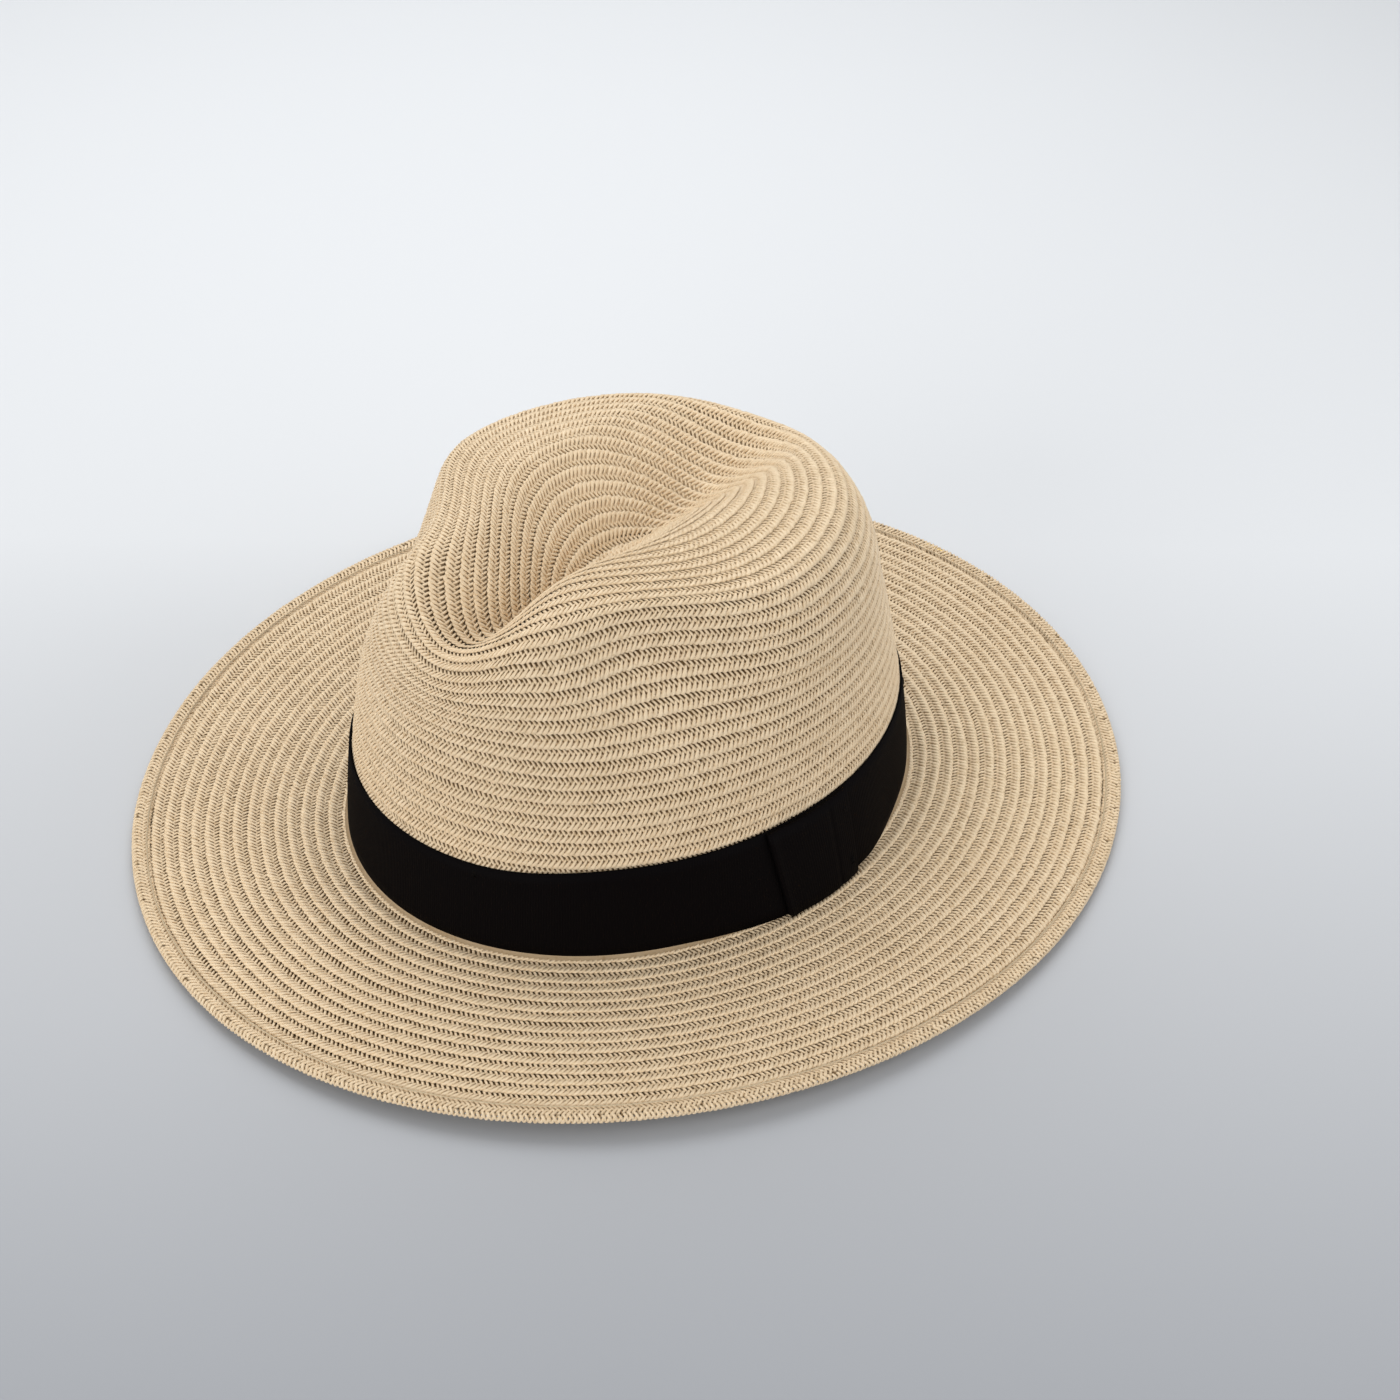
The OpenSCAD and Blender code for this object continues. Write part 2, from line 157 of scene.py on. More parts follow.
def area_light(name, place, aim, size, power, colour):
    data = bpy.data.lights.new(name, "AREA")
    data.shape = "DISK"
    data.size = size
    data.energy = power
    data.color = colour
    light = bpy.data.objects.new(name, data)
    light.location = place
    light.rotation_mode = "QUATERNION"
    light.rotation_quaternion = (Vector(aim) - Vector(place)).to_track_quat("-Z", "Y")
    bpy.context.scene.collection.objects.link(light)


def add_stage():
    half = 20.0
    mesh = bpy.data.meshes.new("floor")
    mesh.from_pydata([(-half, -half, 0), (half, -half, 0), (half, half, 0), (-half, half, 0)], [],
                     [(0, 1, 2, 3)])
    floor = bpy.data.objects.new("floor", mesh)
    bpy.context.scene.collection.objects.link(floor)
    material, nodes, links, shader = new_material("floor_paper")
    place = nodes.new("ShaderNodeTexCoord").outputs["Object"]
    turned = add_node(nodes, "ShaderNodeMapping", Rotation=(0, 0, -math.radians(CAMERA_AZIMUTH)))
    links.new(place, turned.inputs["Vector"])
    axes = nodes.new("ShaderNodeSeparateXYZ")
    links.new(turned.outputs["Vector"], axes.inputs[0])
    # painted shade: greyer paper in front of the hat, pale again further off towards the camera
    away = remap(nodes, links, axes.outputs["Y"], FLOOR_DARK_Y, FLOOR_LIGHT_Y, 0.0, 1.0)
    near = remap(nodes, links, axes.outputs["Y"], FLOOR_NEAR_Y, FLOOR_NEAREST_Y, 0.0, 1.0)
    paper = mix_colour(nodes, links, away, FLOOR_DARK, FLOOR_LIGHT)
    links.new(mix_colour(nodes, links, near, paper, FLOOR_LIGHT), shader.inputs["Base Color"])
    shader.inputs["Roughness"].default_value = 0.9
    shader.inputs["Specular IOR Level"].default_value = 0.1
    mesh.materials.append(material)
    world = bpy.data.worlds.new("studio")
    world.use_nodes = True
    background = world.node_tree.nodes["Background"]
    background.inputs["Color"].default_value = (0.95, 0.975, 1.0, 1)
    background.inputs["Strength"].default_value = 0.43
    bpy.context.scene.world = world
    area_light("front_softbox", (0.05, -1.15, 0.32), (0, 0, 0.05), 1.0, 9.2, (1.0, 0.985, 0.955))
    area_light("back_softbox", (-0.36, 0.32, 0.82), (0, 0, 0.06), 1.2, 7.2, (1.0, 0.99, 0.97))
    area_light("right_softbox", (0.85, 0.25, 0.42), (0, 0, 0.06), 1.0, 4.2, (1.0, 0.99, 0.97))
    area_light("left_softbox", (-0.9, -0.3, 0.45), (0, 0, 0.06), 1.0, 1.2, (1.0, 0.99, 0.97))
    bpy.context.scene.view_settings.view_transform = "Standard"


# --- Materials ------------
def new_material(name):
    material = bpy.data.materials.new(name)
    material.use_nodes = True
    nodes, links = material.node_tree.nodes, material.node_tree.links
    return material, nodes, links, nodes["Principled BSDF"]


def add_node(nodes, kind, **inputs):
    """A node of that kind, with its input sockets set by name."""
    node = nodes.new(kind)
    for name, value in inputs.items():
        node.inputs[name.replace("_", " ")].default_value = value
    return node


def attribute(nodes, name):
    node = nodes.new("ShaderNodeAttribute")
    node.attribute_name = name
    return node


def mix_colour(nodes, links, factor, first, second, blend="MIX"):
    """A colour mix; each input is a socket or a value."""
    node = nodes.new("ShaderNodeMix")
    node.data_type = "RGBA"
    node.blend_type = blend
    for socket, value in zip((node.inputs[0], node.inputs[6], node.inputs[7]), (factor, first, second)):
        if isinstance(value, bpy.types.NodeSocket):
            links.new(value, socket)
        else:
            socket.default_value = value
    return node.outputs[2]


def remap(nodes, links, value, low, high, to_low, to_high):
    node = add_node(nodes, "ShaderNodeMapRange", From_Min=low, From_Max=high, To_Min=to_low, To_Max=to_high)
    links.new(value, node.inputs["Value"])
    return node.outputs["Result"]


def noise(nodes, links, vector, scale, detail=3.0):
    node = add_node(nodes, "ShaderNodeTexNoise", Scale=scale, Detail=detail)
    links.new(vector, node.inputs["Vector"])
    return node.outputs["Fac"]


def stretched(nodes, links, vector, scale):
    node = add_node(nodes, "ShaderNodeMapping", Scale=scale)
    links.new(vector, node.inputs["Vector"])
    return node.outputs["Vector"]


def add_bump(nodes, links, shader, height, strength, distance):
    node = add_node(nodes, "ShaderNodeBump", Strength=strength, Distance=distance)
    links.new(height, node.inputs["Height"])
    links.new(node.outputs["Normal"], shader.inputs["Normal"])


def seen_depth(nodes, links):
    """How deep a point lies in the plait, from above, or from below on a yarn's underside."""
    depth = attribute(nodes, "depth").outputs["Fac"]
    under = attribute(nodes, "under").outputs["Fac"]
    from_below = remap(nodes, links, depth, 0.0, 1.0, 1.0, 0.0)
    choice = nodes.new("ShaderNodeMix")
    links.new(under, choice.inputs[0])
    links.new(depth, choice.inputs[2])
    links.new(from_below, choice.inputs[3])
    return choice.outputs[0]


def straw_material(name, light=(0.80, 0.64, 0.44, 1), dark=(0.66, 0.50, 0.32, 1)):
    """Paper straw: beige yarn with fibres along it, with painted shade where a yarn dips under the others."""
    material, nodes, links, shader = new_material(name)
    yarn = attribute(nodes, "yarn")          # along the yarn and across it, in millimetres, and its number
    place = nodes.new("ShaderNodeTexCoord").outputs["Object"]
    tone = attribute(nodes, "tone").outputs["Fac"]
    depth = seen_depth(nodes, links)
    fibres = noise(nodes, links, stretched(nodes, links, yarn.outputs["Vector"], (0.5, 6.0, 1.0)), 1.0)
    blotches = noise(nodes, links, place, 28.0, 2.0)
    flecks = noise(nodes, links, place, 800.0, 2.0)
    colour = mix_colour(nodes, links, tone, dark, light)
    colour = mix_colour(nodes, links, remap(nodes, links, fibres, 0.35, 0.7, 0.0, 0.35), colour,
                        (0.86, 0.72, 0.53, 1))
    colour = mix_colour(nodes, links, remap(nodes, links, blotches, 0.35, 0.65, 0.0, 0.25), colour,
                        (0.70, 0.54, 0.35, 1))
    colour = mix_colour(nodes, links, remap(nodes, links, flecks, 0.56, 0.72, 0.0, 0.45), colour,
                        (0.50, 0.33, 0.15, 1))
    # painted shade: dark brown where the plait lies deep
    colour = mix_colour(nodes, links, remap(nodes, links, depth, 0.3, 0.95, 0.0, 0.92), colour,
                        (0.15, 0.085, 0.032, 1))
    links.new(colour, shader.inputs["Base Color"])
    links.new(remap(nodes, links, fibres, 0.3, 0.7, 0.62, 0.45), shader.inputs["Roughness"])
    # less specular where the plait lies deep, as part of the painted shade
    links.new(remap(nodes, links, depth, 0.1, 0.6, 0.3, 0.02), shader.inputs["Specular IOR Level"])
    add_bump(nodes, links, shader, fibres, 0.35, 0.0001)
    return material


def cloth_material(name, colour, rough, ribs_across):
    """Ribbed or twilled black ribbon, from its own weave coordinates in millimetres."""
    material, nodes, links, shader = new_material(name)
    weave = attribute(nodes, "weave").outputs["Vector"]
    fine = noise(nodes, links, stretched(nodes, links, weave, (7.0, 7.0, 1.0)), 1.0, 2.0)
    threads = add_node(nodes, "ShaderNodeTexWave", Scale=ribs_across, Distortion=0.6, Detail=1.0)
    threads.wave_profile = "SIN"
    threads.bands_direction = "Y"
    links.new(weave, threads.inputs["Vector"])
    lit = tuple(c * 1.8 for c in colour[:3]) + (1,)
    mixed = mix_colour(nodes, links, remap(nodes, links, fine, 0.3, 0.7, 0.0, 0.7), colour, lit)
    links.new(mixed, shader.inputs["Base Color"])
    links.new(remap(nodes, links, fine, 0.3, 0.7, rough + 0.1, rough - 0.06), shader.inputs["Roughness"])
    shader.inputs["Specular IOR Level"].default_value = 0.03
    add_bump(nodes, links, shader, threads.outputs["Fac"], 0.3, 0.0001)
    return material


def thread_material(name, colour):
    material, nodes, links, shader = new_material(name)
    place = nodes.new("ShaderNodeTexCoord").outputs["Object"]
    plies = noise(nodes, links, place, 2600.0, 2.0)
    darker = tuple(c * 0.6 for c in colour[:3]) + (1,)
    links.new(mix_colour(nodes, links, plies, darker, colour), shader.inputs["Base Color"])
    shader.inputs["Roughness"].default_value = 0.7
    shader.inputs["Specular IOR Level"].default_value = 0.05
    add_bump(nodes, links, shader, plies, 0.3, 0.0001)
    return material


def metal_material(name, colour, rough):
    material, nodes, links, shader = new_material(name)
    place = nodes.new("ShaderNodeTexCoord").outputs["Object"]
    drawn = noise(nodes, links, place, 900.0, 4.0)
    darker = tuple(c * 0.75 for c in colour[:3]) + (1,)
    links.new(mix_colour(nodes, links, drawn, darker, colour), shader.inputs["Base Color"])
    links.new(remap(nodes, links, drawn, 0.3, 0.7, rough - 0.08, rough + 0.12), shader.inputs["Roughness"])
    shader.inputs["Metallic"].default_value = 1.0
    return material


# --- Surfaces ------------
def ease(t):
    t = np.clip(t, 0, 1)
    return t * t * (3 - 2 * t)


def mix(a, b, t):
    return a + (b - a) * t


def wave(terms, times, angle):
    return terms[0] * np.cos(times * angle) + terms[1] * np.sin(times * angle)


def outline():
    """The crown's outline from the middle of the tip to below the foot: distance along it, inset and rise."""
    t = np.linspace(0, 1, 300)
    quarter = t * math.pi / 2
    tip_inset = mix(TIP_EDGE, FOOT_HALF_W, t)
    inset = np.concatenate([
        WALL_TAPER * t ** WALL_BOW, WALL_TAPER + SHOULDER_W * (1 - np.cos(quarter)), tip_inset])
    rise = np.concatenate([
        WALL_H * t, WALL_H + SHOULDER_H * np.sin(quarter), CROWN_H - DOME_H * (1 - t) ** 2])
    keep = np.concatenate([[True], np.hypot(np.diff(inset), np.diff(rise)) > 1e-9])
    inset, rise = inset[keep], rise[keep]
    below = 6.0
    inset = np.concatenate([[0.0], inset])
    rise = np.concatenate([[-below], rise])
    length = np.concatenate([[0], np.cumsum(np.hypot(np.diff(inset), np.diff(rise)))])
    return (length[-1] - length)[::-1], inset[::-1], rise[::-1], length[-1] - below


OUTLINE_ARC, OUTLINE_INSET, OUTLINE_RISE, FOOT_ARC = outline()


def dent_share(x, y):
    along = ease((y - DENT_FRONT_Y) / (DENT_BACK_Y - DENT_FRONT_Y))
    half_w = mix(DENT_HALF_W_FRONT, DENT_HALF_W_BACK, along)
    mid_y = (DENT_FRONT_Y + DENT_BACK_Y) / 2
    half_l = (DENT_BACK_Y - DENT_FRONT_Y) / 2
    r = np.sqrt(((x - DENT_X) / half_w) ** 2 + ((y - mid_y) / half_l) ** DENT_SQUARE)
    v = VALLEY_SOFT
    q = 1 - (np.sqrt(r * r + v * v) - v) / (math.sqrt(1 + v * v) - v)
    return (q + np.sqrt(q * q + RIM_SOFT ** 2)) / (1 + math.sqrt(1 + RIM_SOFT ** 2))


def crown_at(angle, inset, rise, out=0.0):
    t = rise / CROWN_H
    x = (FOOT_HALF_W - inset + out) * np.cos(angle)
    y = (FOOT_HALF_L - inset + out) * np.sin(angle) * (1 - TOP_NARROW * t * t) - TOP_LEAN * t * t
    z = FOOT_Z + rise - DENT_DEPTH * dent_share(x, y) * ease((t - DENT_FROM) / DENT_FADE)
    pinch = np.exp(-((y - PINCH_Y) / PINCH_REACH) ** 2 - ((rise - PINCH_H) / PINCH_REACH) ** 2)
    x = x - np.tanh(x / PINCH_EASE) * PINCH_DEPTH * pinch
    return np.stack([FOOT_X + x, FOOT_Y + y, z + SIDE_LIFT * x - FRONT_LIFT * y], -1)


def crown(angle, arc):
    """Points on the crown's outside, arc millimetres along its outline from the middle of the tip."""
    arc = np.where(arc > TIP_MIDDLE, arc, TIP_MIDDLE + TIP_CLOSED * (arc - TIP_MIDDLE))
    inset = np.interp(arc, OUTLINE_ARC, OUTLINE_INSET)
    return crown_at(angle, inset, np.interp(arc, OUTLINE_ARC, OUTLINE_RISE))


def wall(angle, height, out):
    """Points level with the wall at that height over the foot, moved out from it."""
    share = np.maximum(height, 0) / WALL_H
    return crown_at(angle, WALL_TAPER * share ** WALL_BOW, height, out)


def brim_width(angle):
    return BRIM_W + wave(WIDTH_WAVES[0], 1, angle) + wave(WIDTH_WAVES[1], 2, angle)


def brim_point(angle, out, dz=0.0):
    """Points on the brim, out from the foot of the crown, dz over the top of the straw."""
    x, y = FOOT_HALF_W * np.cos(angle), FOOT_HALF_L * np.sin(angle)
    foot = FOOT_Z + SIDE_LIFT * x - FRONT_LIFT * y
    nx, ny = FOOT_HALF_L * np.cos(angle), FOOT_HALF_W * np.sin(angle)
    size = np.hypot(nx, ny)
    edge = EDGE_Z - EDGE_WAVE * np.sin(2 * angle) + wave(EDGE_RIPPLE, 3, angle)
    z = mix(foot, edge, out / brim_width(angle)) + dz
    return np.stack([FOOT_X + x + nx / size * out, FOOT_Y + y + ny / size * out, z], -1)


def brim(angle, arc):
    """The brim's rows: arc is the distance out on a brim of even width, or less than zero up the wall."""
    flat = brim_point(angle, np.maximum(arc, 0) * brim_width(angle) / BRIM_W)
    return np.where((arc < 0)[..., None], wall(angle, np.maximum(-arc, 0), 0.0), flat)


def hem(angle, across):
    """Round the folded hem: across runs from the upper flap's edge, round the fold, to the lower one's."""
    bend = np.clip(across / HEM_BEND, -math.pi / 2, math.pi / 2)
    flat = np.maximum(np.abs(across) - HEM_BEND * math.pi / 2, 0)
    inward = HEM_EDGE - HEM_BEND * np.cos(bend) + flat
    up = -HEM_BEND * np.sin(bend) - np.where(across < 0, HEM_TILT, 0.0) * flat
    return brim_point(angle, brim_width(angle) - inward, up - STRAW_T / 2)


# --- Braid ------------
def slow_noise(along, step, size):
    """Smooth random values along a length, one new value every step."""
    knots = np.arange(along[0] - step, along[-1] + 2 * step, step)
    return np.interp(along, knots, RANDOM.normal(0, size, len(knots)))


def normals(surface, angle, arc):
    e_turn, e_arc = 0.003, 0.3
    along = surface(angle + e_turn, arc) - surface(angle - e_turn, arc)
    across = surface(angle, arc + e_arc) - surface(angle, arc - e_arc)
    n = np.cross(across, along)
    return n / np.linalg.norm(n, axis=-1, keepdims=True)


class Spiral:
    """The middle line of a long row: turns round the hat against its own length."""

    def __init__(self, surface, arc_of, turns, start_angle):
        self.surface, self.arc_of, self.start_angle = surface, arc_of, start_angle
        self.turn = np.linspace(0, turns, int(turns * 720) + 1)
        points = surface(start_angle + TURN * self.turn, arc_of(self.turn))
        steps = np.linalg.norm(np.diff(points, axis=0), axis=1)
        self.length = np.concatenate([[0], np.cumsum(steps)])

    def at(self, along, across, lift, n):
        turn = np.interp(along, self.length, self.turn)
        return self.surface(self.start_angle + TURN * turn, self.arc_of(turn) + across) + n * lift[..., None]

    def normal(self, along, across):
        turn = np.interp(along, self.length, self.turn)
        return normals(self.surface, self.start_angle + TURN * turn, self.arc_of(turn) + across)

    def length_at(self, turn):
        return np.interp(turn, self.turn, self.length)


def weave_height(phase, zones):
    """A yarn passes over two others and then under two, once or more on its way across the braid."""
    return np.tanh(4 * np.sin(math.pi * zones * np.cos(phase))) * np.sign(np.sin(phase))


def row_marks(along, across):
    """How deep a lapped row is dented, how strongly the painted shade in its gaps shows, and how much painted
    shade it gets under the next row's edge.
    """
    line = np.exp(-(np.maximum(across + LAP_LINE, 0) / LINE_FADE) ** 2)
    gaps = mix(1 - 0.75 * ease((across - RIDGE_FROM) / RIDGE_FADE), 1.0, line) * mix(BACK_GAPS, 1.0, line)
    shade = GAP_SHADE * (1 - ease((across + LAP_LINE) / LAP_FADE))
    tip = mix(TIP_GAPS, 1.0, ease(along / TIP_LENGTH))
    return 0.0, gaps * tip, shade * tip


def brim_marks(along, across):
    """The same for the brim, which has no tip."""
    return row_marks(along + TIP_LENGTH, across)


class Plait:
    """A flat plait along the whole spiral, cut into meshes of closed yarns."""

    def __init__(self, spiral, strands=BRAID_STRANDS, width=BRAID_W, slope=LAP_SLOPE, middle=-STRAW_T / 2,
                 yarn_ws=(YARN_NARROW, YARN_WIDE), weave=WEAVE, zones=1, marks=row_marks):
        period = EDGE_STEP * strands
        self.step = EDGE_STEP / (2 if zones == 1 else 4)
        along = np.arange(math.floor(spiral.length[-1] / self.step) + 1) * self.step
        reach = (width - yarn_ws[1]) / 2
        sway = slow_noise(along, SWAY_STEP, SWAY)
        verts, yarn, tone, depth = [], [], [], []
        layers = strands + 1 if zones == 1 else strands
        for k in range(layers):
            phase = TURN * (along / period + k / strands)
            across = reach * np.cos(phase) + sway + slow_noise(along, JITTER_STEP, JITTER)
            lean = -reach * np.sin(phase) * TURN / period
            size = np.hypot(1, lean)
            height = weave * weave_height(phase, zones) + slow_noise(along, LIFT_STEP, LIFT)
            yarn_w = mix(*yarn_ws, ease((across - RIDGE_FROM) / RIDGE_FADE))
            yarn_w *= 1 + slow_noise(along, UNEVEN_STEP, UNEVEN)
            n = spiral.normal(along, across)
            shade = 0.5 + slow_noise(along, TONE_STEP, TONE) + RANDOM.normal(0, YARN_TONE)
            # random strength of the painted shade in this yarn's gaps
            gap_shade_noise = 1 + slow_noise(along, GAP_SHADE_NOISE_STEP, GAP_SHADE_NOISE)
            yarn_t = YARN_T
            if k == strands:
                across, lean, size, n = sway, 0.0, 1.0, spiral.normal(along, sway)
                height, yarn_t = -CORE_DROP, CORE_T
                yarn_w = mix(YARN_NARROW, width - CORE_IN, ease(along / CORE_FROM - 1))
            for w, h in YARN_SECTION:
                u = along - lean / size * w * yarn_w
                v = across + w * yarn_w / size
                dent, gaps, dark = marks(u, v - sway)
                verts.append(spiral.at(u, v, middle + slope * (v - sway) + height + h * yarn_t - dent, n))
                side = np.full_like(along, 2 * w * YARN_NARROW)
                yarn.append(np.stack([along, side, np.full_like(along, YARN_APART * k)], -1))
                tone.append(shade)
                # depth: painted shade, darker the lower a yarn lies in the weave and under the next row's
                # edge; the core's top is painted dark brown
                if k == strands:
                    depth.append(marks(u, -LAP_LINE)[1] * (1.0 if h > 0 else CORE_UNDER))
                else:
                    depth.append(gaps * gap_shade_noise * (0.5 - 0.5 * height / weave - 0.45 * h) + dark)
        order = (-1, len(YARN_SECTION), len(along))
        self.verts = np.array(verts).reshape(*order, 3).transpose(0, 2, 1, 3)
        self.yarn = np.array(yarn).reshape(*order, 3).transpose(0, 2, 1, 3)
        self.tone = np.array(tone).reshape(order).transpose(0, 2, 1)
        self.depth = np.array(depth).reshape(order).transpose(0, 2, 1)

    def mesh(self, name, begin, end):
        """The stretch from begin to end, which meets the next stretch without a gap."""
        part = slice(round(begin / self.step), round(end / self.step) + 1)
        verts = self.verts[:, part]
        index = np.arange(verts[..., 0].size).reshape(verts.shape[:3])
        here, after = index[:, :-1], index[:, 1:]
        quads = np.stack([here, np.roll(here, -1, 2), np.roll(after, -1, 2), after], -1).reshape(-1, 4)
        caps = np.concatenate([index[:, 0, ::-1], index[:, -1]])
        mesh = quad_mesh(name, verts.reshape(-1, 3), np.concatenate([quads, caps]))
        add_attribute(mesh, "yarn", "FLOAT_VECTOR", self.yarn[:, part])
        add_attribute(mesh, "tone", "FLOAT", self.tone[:, part])
        add_attribute(mesh, "depth", "FLOAT", self.depth[:, part])
        under = np.zeros(len(mesh.polygons))
        under[len(YARN_SECTION) - 1:len(quads):len(YARN_SECTION)] = 1
        add_attribute(mesh, "under", "FLOAT", under, "FACE")
        return mesh


# --- Meshes ------------
def quad_mesh(name, verts, quads):
    mesh = bpy.data.meshes.new(name)
    mesh.vertices.add(len(verts))
    mesh.vertices.foreach_set("co", (verts * MM).astype(np.float32).ravel())
    mesh.loops.add(quads.size)
    mesh.loops.foreach_set("vertex_index", quads.astype(np.int32).ravel())
    mesh.polygons.add(len(quads))
    mesh.polygons.foreach_set("loop_start", np.arange(0, quads.size, 4, dtype=np.int32))
    mesh.polygons.foreach_set("use_smooth", np.ones(len(quads), dtype=bool))
    mesh.update(calc_edges=True)
    mesh.validate()
    return mesh


def add_attribute(mesh, name, kind, values, domain="POINT"):
    data = mesh.attributes.new(name, kind, domain).data
    data.foreach_set("vector" if kind == "FLOAT_VECTOR" else "value", values.astype(np.float32).ravel())


def add_piece(name, mesh, material, slot, *nodes):
    piece = bpy.data.objects.new(name, mesh)
    bpy.context.scene.collection.objects.link(piece)
    mesh.materials.append(material)
    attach(piece, "root")
    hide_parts(*nodes)
    return piece


def ring_mesh(name, loops, weave, closed):
    """A skin through loops[i][j]: i runs round the hat, j round the section."""
    count, ring = loops.shape[:2]
    index = np.arange(count * ring).reshape(count, ring)
    here = index if closed else index[:-1]
    after = np.roll(index, -1, 0) if closed else index[1:]
    quads = np.stack([here, after, np.roll(after, -1, 1), np.roll(here, -1, 1)], -1).reshape(-1, 4)
    mesh = quad_mesh(name, loops.reshape(-1, 3), quads)
    add_attribute(mesh, "weave", "FLOAT_VECTOR", weave)
    return mesh


# --- Straw pieces ------------
def add_plait(name, plait, begin, end, parts, material, node):
    """Equal lengths of one plait, as pieces that stand for the node."""
    cuts = np.linspace(begin, end, parts + 1)
    for i in range(parts):
        part = name if parts == 1 else f"{name}_{i + 1}"
        add_piece(part, plait.mesh(part, cuts[i], cuts[i + 1]), material, "straw", node)


def crown_braid(straw):
    last = FOOT_ARC - BRAID_W / 2
    turns = math.ceil((last - CROWN_FROM) / CROWN_PITCH) + 2
    spiral = Spiral(crown, lambda turn: np.clip(CROWN_FROM + CROWN_PITCH * (turn - 1), CROWN_FROM, last),
                    turns, math.pi / 2)
    plait = Plait(spiral)
    cut = spiral.length_at(TIP_TURNS)
    add_plait("tip_plait", plait, 0, cut, 1, straw, "crown_tip_braid")
    add_plait("side_plait", plait, cut, spiral.length[-1], 5, straw, "crown_side_braid")


def ring_steps(turn):
    """Counts the rings: each is level most of the way round and steps out to the next behind the hat."""
    return np.floor(turn) + np.clip((turn % 1 - 1 + STEP_SHARE) / STEP_SHARE, 0, 1)


def brim_braid(straw):
    last = BRIM_W - HEM_SHOWS - BRAID_W / 2
    rings = round((last - BRIM_FROM) / BRIM_PITCH)
    arcs = np.concatenate([FOOT_RINGS, np.linspace(BRIM_FROM, last, rings + 1)])
    spiral = Spiral(brim, lambda turn: np.interp(ring_steps(turn), np.arange(len(arcs)), arcs), len(arcs),
                    STEP_ANGLE)
    add_plait("brim_plait", Plait(spiral, marks=brim_marks), 0, spiral.length[-1], 4, straw, "brim_braid")


def hem_marks(along, across):
    """Stitches dimple both flaps, and painted shade darkens the dimples and dots the join with the last row;
    the upper one runs in under the last row.
    """
    to_stitch = (along + HEM_STITCH_STEP / 2) % HEM_STITCH_STEP - HEM_STITCH_STEP / 2
    to_line = np.abs(across) - HEM_BEND * math.pi / 2 - (HEM_STITCH_IN - HEM_EDGE)
    pull = 0.5 + 0.4 * np.sin(0.37 * along) * np.sin(0.083 * along)
    dimple = pull * np.exp(-(to_stitch / HEM_DIMPLE_L) ** 2 - (to_line / HEM_DIMPLE_W) ** 2)
    from_row = across + HEM_BEND * math.pi / 2 + HEM_SHOWS - HEM_EDGE
    gaps = HEM_GAPS[0] + HEM_GAPS[1] * np.exp(-(from_row - HEM_LINE) ** 2)
    # painted shade along the join with the last row, in teeth one yarn turn apart
    comb = 0.5 + 0.5 * np.cos(TURN * along / EDGE_STEP)
    shade = GAP_SHADE * (1 - ease(from_row / HEM_LINE_W)) * comb + HEM_DIMPLE_SHADE * dimple
    return HEM_DIMPLE * dimple, gaps, shade


def hem_braid(straw):
    width = 2 * (HEM_BEND * math.pi / 2 + HEM_FLAT)
    spiral = Spiral(hem, lambda turn: np.zeros_like(turn), 1, math.pi / 2)
    plait = Plait(spiral, HEM_STRANDS, width, 0.0, 0.0, HEM_YARNS, HEM_WEAVE, HEM_ZONES, hem_marks)
    add_plait("hem_plait", plait, 0, spiral.length[-1], 2, straw, "brim_hem_braid")


# --- Ribbons ------------
def ribbon(name, angles, lows, highs, outs, thickness, rib_h, closed=True):
    """A ribbed ribbon round the wall; angles may differ from its lower edge to its upper one."""
    along = np.arange(len(angles[0])) * RIB_STEP / 4
    rib = rib_h * np.cos(TURN * np.arange(len(along)) / 4)
    shares = np.linspace(0, 1, RIBBON_ROWS)
    loops, weave = [], []
    for side, rows in enumerate((shares, shares[::-1])):
        for s in rows:
            angle = mix(angles[0], angles[1], s)
            height = mix(lows, highs, s)
            out = mix(outs[0], outs[1], s)
            if side == 0:
                out = out + thickness + (SELVEDGE if s in (0, 1) else rib)
            loops.append(wall(angle, height, out))
            weave.append(np.stack(np.broadcast_arrays(along, height, float(side)), -1))
    loops = np.array(loops).transpose(1, 0, 2)
    weave = np.array(weave).transpose(1, 0, 2)
    mesh = ring_mesh(name, loops, weave, closed)
    if not closed:
        cap_ends(mesh, len(loops), loops.shape[1])
    return mesh


def cord_mesh(name, paths, radius, sides=6):
    """Round threads along short paths, with closed ends."""
    verts, quads = [], []
    for path in paths:
        along = np.gradient(path, axis=0)
        along /= np.linalg.norm(along, axis=1, keepdims=True)
        first = np.cross(along, (0, 0, 1.0))
        first /= np.linalg.norm(first, axis=1, keepdims=True) + 1e-9
        second = np.cross(along, first)
        turn = TURN * np.arange(sides) / sides
        ring = first[:, None] * np.cos(turn)[:, None] + second[:, None] * np.sin(turn)[:, None]
        index = np.arange(len(path) * sides).reshape(len(path), sides) + sum(len(v) for v in verts)
        verts.append((path[:, None] + radius * ring).reshape(-1, 3))
        here, after = index[:-1], index[1:]
        quads.append(np.stack([here, np.roll(here, -1, 1), np.roll(after, -1, 1), after], -1).reshape(-1, 4))
        for end in (index[0][::-1], index[-1]):
            quads.append(np.array([[end[0], end[1], end[2], end[3]], [end[0], end[3], end[4], end[5]]]))
    return quad_mesh(name, np.concatenate(verts), np.concatenate(quads))


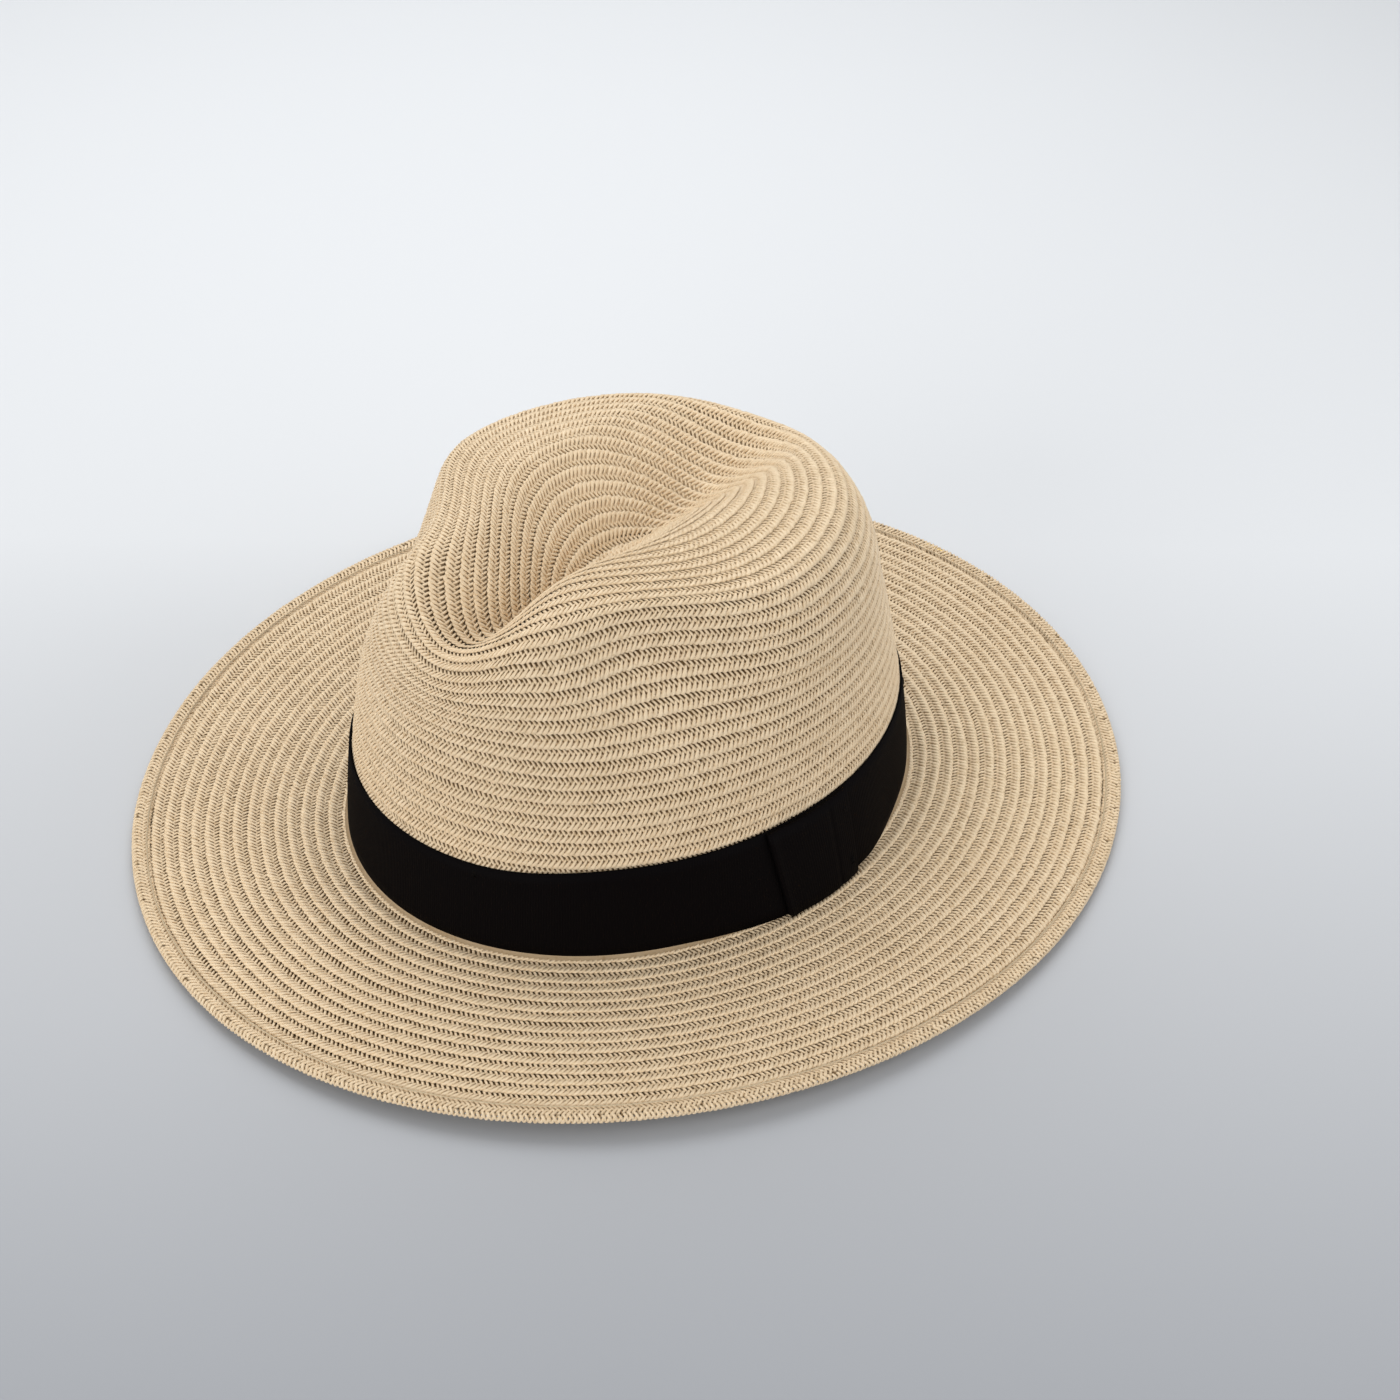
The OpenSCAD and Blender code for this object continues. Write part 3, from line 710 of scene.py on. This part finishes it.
def cap_ends(mesh, count, ring):
    bm = bmesh.new()
    bm.from_mesh(mesh)
    bm.verts.ensure_lookup_table()
    half = ring // 2
    for start in (0, (count - 1) * ring):
        for j in range(half - 1):
            corners = [bm.verts[start + j], bm.verts[start + j + 1], bm.verts[start + ring - 2 - j],
                       bm.verts[start + ring - 1 - j]]
            bm.faces.new(corners if start else corners[::-1])
    bmesh.ops.recalc_face_normals(bm, faces=bm.faces)
    bm.to_mesh(mesh)
    bm.free()


def foot_length():
    angle = np.linspace(0, TURN, 2000)
    points = wall(angle, 0 * angle, 0.0)
    return np.linalg.norm(np.diff(points, axis=0), axis=1).sum()


def flare(angle):
    """How far the lower edges stand away from the crown, where the tab holds them out."""
    off = np.abs((np.degrees(angle) + 180) % 360 - 180 - FLARE_MIDDLE)
    return FLARE * np.exp(-(np.maximum(off - FLARE_HALF, 0) / FLARE_FADE) ** 2)


def ride_up(angle):
    """The band sits a little higher on the side with the tab."""
    off = np.abs((np.degrees(angle) + 180) % 360 - 180)
    return RIDE_UP * ease((RIDE_REACH - off) / RIDE_FADE)


def hat_band(material):
    ribs = round(foot_length() / RIB_STEP)
    angle = TURN * np.arange(ribs * 4) / (ribs * 4)
    loose = sum(size * np.sin(waves * angle + shift) for size, waves, shift in BAND_LOOSE)
    top = BAND_LOW + BAND_W + 0.3 * loose + ride_up(angle)
    mesh = ribbon("hat_band_ribbon", (angle, angle), BAND_LOW, top, (NIP + flare(angle), NIP + 0.15 + loose),
                  BAND_T - RIB_H, RIB_H)
    piece = add_piece("hat_band_ribbon", mesh, material, "ribbon", "hat_band")


def sweatband(material):
    ribs = round(foot_length() / RIB_STEP)
    angle = TURN * np.arange(ribs * 4) / (ribs * 4)
    near = -(SWEAT_NEAR + SWEAT_T)
    mesh = ribbon("sweatband_ribbon", (angle, angle), SWEAT_LOW, SWEAT_LOW + SWEAT_W, (near, near),
                  SWEAT_T, 0.0)
    piece = add_piece("sweatband_ribbon", mesh, material, "sweatband_twill", "sweatband")


def band_tab(material):
    """The folded tab: its leading edge stands up in a round fold, and its end is pressed flat."""
    span = math.radians(TAB_TO - TAB_FROM)
    count = round(span * FOOT_HALF_W / RIB_STEP) * 4
    share = np.linspace(0, 1, count)
    top = math.radians(TAB_FROM) + span * share
    foot = top + math.radians(TAB_SLANT) * (1 - share)
    fold = TAB_FOLD[0] * np.exp(-(share / TAB_FOLD[1]) ** 2)
    crease = TAB_CREASE[0] * np.exp(-((share - TAB_CREASE[2]) / TAB_CREASE[1]) ** 2)
    puff = TAB_PUFF * np.sin(math.pi * share) + fold + crease
    near = NIP + BAND_T + NIP + TAB_SQUEEZE * puff
    rounded = np.sqrt(np.clip(1 - (1 - np.minimum(share / 0.04, 1)) ** 2, 0.02, 1))
    mesh = ribbon("tab_ribbon", (foot, top), BAND_LOW, BAND_LOW + BAND_W + RIDE_UP,
                  (near + flare(foot), near), TAB_T * rounded + (1 - TAB_SQUEEZE) * puff - RIB_H, RIB_H,
                  closed=False)
    piece = add_piece("tab_ribbon", mesh, material, "ribbon", "band_tab")


def stitch_path(angle, height, out):
    """One upright stitch lying on a ribbon: it rises out of the cloth and sinks back into it."""
    t = np.linspace(-1, 1, 7)
    bulge = out - 0.25 * TACK_D + 0.6 * TACK_D * np.sqrt(np.clip(1 - t * t, 0, 1))
    return wall(np.full_like(t, angle), height + t * TACK_L / 2, bulge)


def tack_spots():
    """Each tack's angle, height and distance out from the wall: on the band, then on the tab's end."""
    spots = [(math.radians(a), TACK_HEIGHT, NIP + BAND_T + 0.05) for a in TACK_ANGLES]
    angle = math.radians(TAB_TACK_ANGLE)
    for height in TAB_TACK_HEIGHTS:
        share = (height - BAND_LOW) / BAND_W
        spots.append((angle, height, NIP + BAND_T + NIP + TAB_T + 0.15 + (1 - share) * flare(angle)))
    return spots


def tacks(material):
    """Small tacking stitches, each of three threads side by side."""
    paths = [stitch_path(angle + side / FOOT_HALF_W, height, out)
             for angle, height, out in tack_spots() for side in (-TACK_SPREAD, 0, TACK_SPREAD)]
    mesh = cord_mesh("tack_stitches", paths, TACK_D / 3)
    add_piece("tack_stitches", mesh, material, "black_thread", "band_tacks")


# --- Make it ------------
def finish_cad_nodes(materials):
    for name, material in materials.items():
        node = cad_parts[name]
        node.data.materials.clear()
        node.data.materials.append(material)


add_camera()
add_stage()
straw = straw_material("paper_straw")
grosgrain = cloth_material("black_grosgrain", (0.0018, 0.0013, 0.0015, 1), 0.6, 0.6)
twill = cloth_material("sweatband_twill", (0.012, 0.011, 0.012, 1), 0.75, 1.2)
straw_thread = thread_material("straw_thread", (0.62, 0.50, 0.34, 1))
black_thread = thread_material("black_thread", (0.006, 0.005, 0.005, 1))
steel = metal_material("wire_steel", (0.55, 0.56, 0.58, 1), 0.35)
brass = metal_material("joiner_brass", (0.62, 0.45, 0.18, 1), 0.35)
crown_braid(straw)
brim_braid(straw)
hem_braid(straw)
hat_band(grosgrain)
band_tab(grosgrain)
sweatband(twill)
tacks(black_thread)
finish_cad_nodes({
    "crown_row_thread": straw_thread, "brim_row_thread": straw_thread, "hem_thread": straw_thread,
    "sweatband_thread": black_thread, "brim_wire": steel, "wire_joiner": brass,
})
